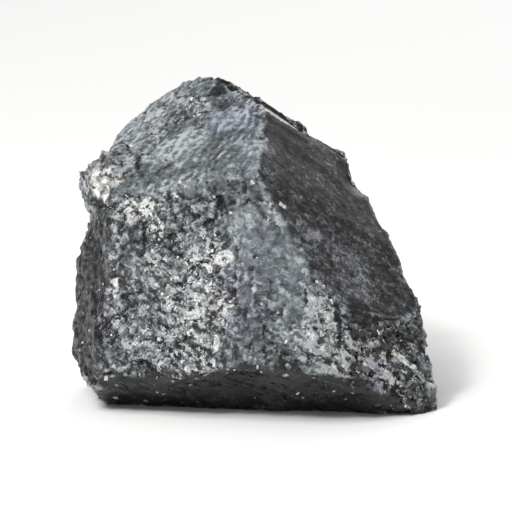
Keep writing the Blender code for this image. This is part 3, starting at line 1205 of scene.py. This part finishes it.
    # Fresh facets are glassy and powder is dull.
    dull = layered(
        tree,
        0.16,
        (small[2], 0.16),
        (large[2], 0.12),
        (tone, 0.22),
        (chalky, 0.2),
        (marks["feldspar"], 0.18),
    )
    dull_prism = layered(tree, 0.24, (dusty_and_shaded, 0.28), (strip[2], 0.08))
    dull = {"Factor": marks["prism"], "A": dull, "B": dull_prism}
    dull = add_node(tree, "ShaderNodeMix", {}, dull).outputs["Result"]
    tree.links.new(dull, shader.inputs["Roughness"])
    shader.inputs["IOR"].default_value = 1.64
    shader.inputs["Specular IOR Level"].default_value = 0.3

    # Each small facet leans its own way, least on the smooth faces. On a prism face the strips lean.
    loose = layered(tree, 1.0, (marks["prism"], -0.78), (marks["smooth"], -0.48))
    normal = add_node(tree, "ShaderNodeNewGeometry").outputs["Normal"]
    for facet_colour, mark, most in (
        (large_colour, loose, 0.34),
        (small_colour, loose, 0.38),
        (tiny_colour, loose, 0.28),
        (strip_colour, marks["prism"], 0.035),
    ):
        lean = add_node(tree, "ShaderNodeMath", MULTIPLY, {0: mark, 1: most}).outputs[0]
        normal = nudged(tree, normal, facet_colour, lean)
    normal = add_node(tree, "ShaderNodeVectorMath", {"operation": "NORMALIZE"}, {0: normal}).outputs[0]
    lined = add_node(tree, "ShaderNodeMath", MULTIPLY, {0: dust["streak"], 1: marks["prism"]}).outputs[0]
    height = layered(tree, 0.0, (dust["powder"], 0.8), (lined, 0.2))
    bump = {"Strength": 0.6, "Distance": 0.05 * MM, "Height": height, "Normal": normal}
    bump = add_node(tree, "ShaderNodeBump", {}, bump)
    tree.links.new(bump.outputs[0], shader.inputs["Normal"])
    return material


def grain_material(finish):
    """Feldspar and mica grains: dull cream to pale grey, each its own tone, with flat shiny cleavages."""
    material, tree, shader = new_material("Feldspar and mica grains")
    coords = add_node(tree, "ShaderNodeTexCoord").outputs["Object"]
    colour, draws = broken_facets(tree, coords, 0.6)
    steps = (
        (0.0, linear("#4b4b4a")),
        (0.4, linear("#7d7c79")),
        (0.75, finish["feldspar"]),
        (1.0, linear("#dcdcd9")),
    )
    colour = add_node(tree, "ShaderNodeValToRGB", {"stops": steps}, {"Fac": draws[1]}).outputs[0]
    tree.links.new(colour, shader.inputs["Base Color"])
    tree.links.new(layered(tree, 0.2, (draws[2], 0.4)), shader.inputs["Roughness"])
    shader.inputs["IOR"].default_value = 1.53
    powder = {"Vector": coords, "Scale": per_mm(0.2), "Detail": 3.0, "Roughness": 0.6}
    powder = add_node(tree, "ShaderNodeTexNoise", {}, powder).outputs[0]
    bump = {"Strength": 0.4, "Distance": 0.03 * MM, "Height": powder}
    tree.links.new(add_node(tree, "ShaderNodeBump", {}, bump).outputs[0], shader.inputs["Normal"])
    return material


def board_material(colour):
    """Matt white painted board: evenly pale, with no shine and a faint eggshell texture."""
    material, tree, shader = new_material("Matt painted board")
    shader.inputs["Base Color"].default_value = colour
    shader.inputs["Roughness"].default_value = 0.85
    shader.inputs["Specular IOR Level"].default_value = 0.2
    coords = add_node(tree, "ShaderNodeTexCoord").outputs["Object"]
    eggshell = {"Vector": coords, "Scale": per_mm(1.5), "Detail": 2.0, "Roughness": 0.6}
    eggshell = add_node(tree, "ShaderNodeTexNoise", {}, eggshell).outputs[0]
    bump = {"Strength": 0.08, "Distance": 0.05 * MM, "Height": eggshell}
    tree.links.new(add_node(tree, "ShaderNodeBump", {}, bump).outputs[0], shader.inputs["Normal"])
    return material


def colours_of(finish):
    """The colours that the user can change, by name."""
    names = ("dark_stone", "grey_stone", "pale_dust", "feldspar", "violet_film")
    return {name: tuple(getattr(finish, name)) for name in names}


# ---- Operators -----------------------------------------------------------------------------------------


def brow_ripples(flat, looks, prism, uneven, adrift):
    """Ripples that cross the smooth faces round the brow, -1 to 1."""
    smoothest = np.clip((looks[:, 0] - 0.55) / 0.3, 0, 1) * (1 - prism)
    follow = flat @ np.array(direction(*RIPPLE_AIM)) / RIPPLE_SPACING
    follow += 0.7 * adrift[:, 0] + 0.25 * uneven[:, 2]
    return np.sin(2 * np.pi * follow) * np.clip(0.6 + adrift[:, 2], 0, 1) * smoothest


def crumbling(surface, flat, prism, smooth):
    """How much each point crumbles: more on a sharp edge, and less where the faces are smooth."""
    sharp = np.clip(surface.bulge(8) / SHARP_EDGE, 0, 1)
    crumbled = np.clip(0.55 + 0.9 * noise_field(flat, 1.4, 5), 0, 1)
    return sharp * crumbled * (1 - 0.8 * np.clip(np.maximum(prism, smooth), 0, 1))


def dress_surface(mesh, form, shape):
    """Gives the evenly meshed block its relief and writes the masks that its material reads."""
    surface = Surface(mesh)
    tree = BVHTree.FromBMesh(form)
    flat = surface.points.copy()
    on_floor = flat[:, 2] < 0.5 * shape.mesh_size / MM
    surface.points, prism = broad_relief(flat, tree)
    prism = surface.blurred(prism, 3)

    # The borders of patches and grains wander.
    uneven = wandering(flat, *UNEVEN)
    adrift = wandering(flat, *ADRIFT)
    bent = flat + GRAIN_BEND * uneven
    wander = flat + BORDER_BEND[0] * uneven + BORDER_BEND[1] * adrift
    looks = surface.blurred(face_looks(wander, tree, FACE_LOOKS), 5)
    ridge = surface.blurred(face_looks(flat, tree, RIDGE_LOOK)[:, 1], 1)
    smooth = np.clip(looks[:, 0] + patches(wander, SMOOTH_PATCHES), -1, 1)
    feldspar = in_feldspar(flat, uneven[:, 0] + 0.8 * adrift[:, 1])
    knob = in_knob(flat)

    # Some edges are worn round.
    worn = patches(wander, WORN_PATCHES)[:, None]
    surface.points += (surface.blurred(surface.points, WORN_ROUNDS) - surface.points) * worn

    # Broken grain, cracks, the growth lines of the prism faces, and the knob's cleaved lumps.
    grains = {name: broken_grain(bent, *sizes) for name, sizes in FRACTURE_GRAIN.items()}
    rough = (1 - prism) * (1 - 0.8 * smooth) * (1 - 0.5 * knob) * shape.grain_depth
    height = sum(rise for rise, _ in grains.values()) * rough
    height -= crack_depth(bent + 0.5 * adrift, 0.6 + 0.7 * uneven[:, 1]) * (1 - prism)
    lines = sum(broken_grain(flat, *sizes)[0] for sizes in GROWTH_LINES)
    height += GROWTH_LINE_DEPTH * lines * prism * shape.line_depth
    height += broken_grain(bent, *KNOB_GRAIN)[0] * knob

    # Ripples and crumbled edges.
    ripples = brow_ripples(flat, looks, prism, uneven, adrift)
    height += ripples * RIPPLE_HEIGHT
    height -= crumbling(surface, flat, prism, smooth) * shape.edge_wear / MM
    surface.points += surface.normals() * np.where(on_floor, 0, height)[:, None]

    # One light pass takes the steps of the mesh out of the relief.
    surface.points += (surface.around(surface.points) - surface.points) * LAST_SMOOTHING
    surface.points[on_floor, 2] = 0.0
    surface.points -= np.array(MIDDLE)
    low, high = np.array(CAD_BOX) / MM
    surface.points = np.clip(surface.points, low + CLEARANCE, high - CLEARANCE)

    near, wide = (surface.bulge(rounds) / full for rounds, full in (NEAR_RELIEF, WIDE_RELIEF))
    dust_and_shading = dust_and_shading_tone(flat + 0.15 * uneven)
    surface.points *= MM
    surface.write()
    surface.keep("prism", prism)
    surface.keep("feldspar", feldspar)
    # Hollows, which the material darkens as painted shade.
    surface.keep("hollow", np.clip(-(0.6 * near + 0.6 * wide), 0, 1))
    # Rims, which the material lightens as a painted highlight.
    surface.keep("rim", np.clip(0.5 * near + 0.6 * wide, 0, 1))
    surface.keep("violet", patches(wander, VIOLET_PATCHES))
    surface.keep("smooth", smooth)
    # Pale dust, with the light lines of painted highlight.
    surface.keep("pale", patches(wander, PALE_PATCHES) + np.maximum(dust_and_shading, 0))
    # Tone: own tones of faces and patches, with the painted shade and highlight of faces, patches and
    # lines.
    surface.keep("tone", looks[:, 1] + patches(wander, TONE_PATCHES) + dust_and_shading + ridge + 0.25 * ripples)
    surface.keep("grain", grains["medium"][1])


class TOURMALINE_OT_block(bpy.types.Operator):
    """Model the block and give it its stone"""

    bl_idname = "tourmaline.block"
    bl_label = "Tourmaline Block"

    def execute(self, context):
        shape = context.scene.tourmaline_shape
        obj = flat_faced_block()
        form = bmesh.new()
        form.from_mesh(obj.data)
        bmesh.ops.triangulate(form, faces=form.faces[:])
        even = obj.modifiers.new("Even quads", "REMESH")
        even.mode = "VOXEL"
        even.voxel_size = shape.mesh_size / MM
        obj.data = applied(obj)
        obj.modifiers.clear()
        dress_surface(obj.data, form, shape)
        form.free()
        obj.data.name = "tourmaline_block"
        obj.data.shade_smooth()
        obj.data.set_sharp_from_angle(angle=math.radians(32))
        obj.data.materials.clear()
        obj.data.materials.append(stone_material(colours_of(context.scene.tourmaline_finish)))
        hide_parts(NODE)
        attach(obj, BODY)
        return {"FINISHED"}


def shard_mesh(rng):
    """One splinter about 1 unit wide: a cube with its corners broken off."""
    bm = bmesh.new()
    bmesh.ops.create_cube(bm, size=1.1)
    for _ in range(5):
        way = direction(rng.uniform(0, 360), rng.uniform(-70, 70))
        cut(bm, way * rng.uniform(0.28, 0.5), way)
    return mesh_of(bm)


def grain_weights(mesh):
    """How likely each point of the block carries a grain: pale patches and hollows gather them."""
    names = ("prism", "pale", "hollow", "rim", "smooth", "feldspar")
    masks = {name: read(mesh.attributes[name].data, "value", kind=np.float32) for name in names}
    weight = 0.03 + np.minimum(masks["pale"], 1) ** 1.5 + 0.12 * masks["hollow"]
    weight *= ((1 - masks["prism"]) * (1 - masks["rim"])) ** 2
    weight *= np.minimum(1, 1 - 0.7 * masks["smooth"]) * (1 - 0.8 * masks["feldspar"])
    weight *= read(mesh.vertices, "co", 3)[:, 2] > 0.8 * MM
    return weight / weight.sum()


def grain_pose(rng, place, outward, size):
    """Where one grain sits: flattened, turned any way and leaning a little off the surface."""
    lean = Matrix.Rotation(rng.uniform(-0.7, 0.7), 4, Vector(rng.uniform(-1, 1) for _ in range(3)))
    stand = outward.to_track_quat("Z", "Y").to_matrix().to_4x4()
    spin = Matrix.Rotation(rng.uniform(0, 6.28), 4, "Z")
    sides = Matrix.Diagonal((size, size * rng.uniform(0.5, 0.9), size * rng.uniform(0.25, 0.6), 1))
    return Matrix.Translation(place) @ lean @ stand @ spin @ sides


class TOURMALINE_OT_grains(bpy.types.Operator):
    """Stick small grains of feldspar and mica on the fractures"""

    bl_idname = "tourmaline.grains"
    bl_label = "Mineral Grains"

    def execute(self, context):
        grains = context.scene.tourmaline_grains
        block = bpy.data.objects.get("tourmaline_block")
        if block is None:
            raise RuntimeError("the block comes first")
        weights = grain_weights(block.data)
        picker = np.random.default_rng(GRAIN_SEED)
        chosen = picker.choice(len(weights), grains.count, replace=False, p=weights)
        rng = random.Random(SHARD_SEED)
        shards = [shard_mesh(rng) for _ in range(SHARD_KINDS)]
        low, high = (Vector(corner) for corner in CAD_BOX)
        bm = bmesh.new()
        for index in chosen:
            vertex = block.data.vertices[index]
            size = grains.smallest + (grains.largest - grains.smallest) * rng.random() ** 3.2
            place = vertex.co + vertex.normal * size * 0.05
            room = (min(place[axis] - low[axis], high[axis] - place[axis]) for axis in range(3))
            if min(room) < size:
                continue
            pose = grain_pose(rng, place, vertex.normal, size)
            known = len(bm.verts)
            bm.from_mesh(rng.choice(shards))
            bm.verts.ensure_lookup_table()
            bmesh.ops.transform(bm, matrix=pose, verts=bm.verts[known:])
        bmesh.ops.recalc_face_normals(bm, faces=bm.faces[:])
        mesh = bpy.data.meshes.new("mineral_grains")
        bm.to_mesh(mesh)
        bm.free()
        obj = show_object("mineral_grains", mesh)
        mesh.materials.append(grain_material(colours_of(context.scene.tourmaline_finish)))
        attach(obj, BODY)
        return {"FINISHED"}


def add_light(name, angles, distance, side, power):
    """A square soft light at this azimuth and elevation, pointed at the block."""
    light = bpy.data.lights.new(name, "AREA")
    light.shape = "SQUARE"
    light.size = side
    light.energy = power
    obj = show_object(name, light)
    way = direction(*angles)
    obj.location = LIGHT_TARGET + way * distance
    obj.rotation_euler = (-way).to_track_quat("-Z", "Y").to_euler()


def add_camera(stage):
    """A long lens that looks down at the block from the front."""
    camera = bpy.data.cameras.new("camera")
    camera.lens = stage.focal_length
    camera.sensor_width = 36
    camera.clip_start = 0.01
    camera.dof.use_dof = False
    obj = show_object("camera", camera)
    way = direction(0, math.degrees(stage.camera_elevation))
    obj.location = CAMERA_TARGET + way * stage.camera_distance
    obj.rotation_euler = (-way).to_track_quat("-Z", "Y").to_euler()
    return obj


class TOURMALINE_OT_stage(bpy.types.Operator):
    """Set up the floor, the lights and the camera"""

    bl_idname = "tourmaline.stage"
    bl_label = "Plain Stage"

    def execute(self, context):
        scene = context.scene
        stage = scene.tourmaline_stage
        bm = bmesh.new()
        bmesh.ops.create_grid(bm, x_segments=1, y_segments=1, size=stage.floor_size / 2)
        floor = bpy.data.meshes.new("floor")
        bm.to_mesh(floor)
        bm.free()
        floor.transform(Matrix.Translation((0, 0, -0.05 * MM)))
        floor.materials.append(board_material(tuple(stage.floor_colour)))
        show_object("floor", floor)

        world = bpy.data.worlds.new("White surround")
        world.use_nodes = True
        background = world.node_tree.nodes["Background"]
        background.inputs["Color"].default_value = (1, 1, 1, 1)
        background.inputs["Strength"].default_value = stage.sky_strength
        scene.world = world

        for name, (angles, distance, side, share) in LIGHTS.items():
            add_light(name, angles, distance, side, stage.key_power * share)
        scene.camera = add_camera(stage)
        scene.view_settings.view_transform = "Standard"
        return {"FINISHED"}


class TOURMALINE_PT_sidebar(bpy.types.Panel):
    """Lists the block's sizes, colours and steps"""

    bl_idname = "TOURMALINE_PT_sidebar"
    bl_label = "Black Tourmaline"
    bl_space_type = "VIEW_3D"
    bl_region_type = "UI"
    bl_category = "Tourmaline"

    def draw(self, context):
        layout = self.layout
        for name, group, operator in STEPS:
            box = layout.box()
            settings = getattr(context.scene, name)
            for prop in group.__annotations__:
                box.prop(settings, prop)
            if operator:
                box.operator(operator.bl_idname)


STEPS = (
    ("tourmaline_finish", TourmalineFinish, None),
    ("tourmaline_shape", TourmalineShape, TOURMALINE_OT_block),
    ("tourmaline_grains", TourmalineGrains, TOURMALINE_OT_grains),
    ("tourmaline_stage", TourmalineStage, TOURMALINE_OT_stage),
)


def register():
    for name, group, operator in STEPS:
        bpy.utils.register_class(group)
        setattr(bpy.types.Scene, name, PointerProperty(type=group))
        if operator:
            bpy.utils.register_class(operator)
    bpy.utils.register_class(TOURMALINE_PT_sidebar)


def unregister():
    bpy.utils.unregister_class(TOURMALINE_PT_sidebar)
    for name, group, operator in reversed(STEPS):
        if operator:
            bpy.utils.unregister_class(operator)
        delattr(bpy.types.Scene, name)
        bpy.utils.unregister_class(group)


def main():
    register()
    bpy.ops.tourmaline.block()
    bpy.ops.tourmaline.grains()
    bpy.ops.tourmaline.stage()


if __name__ == "__main__":
    main()
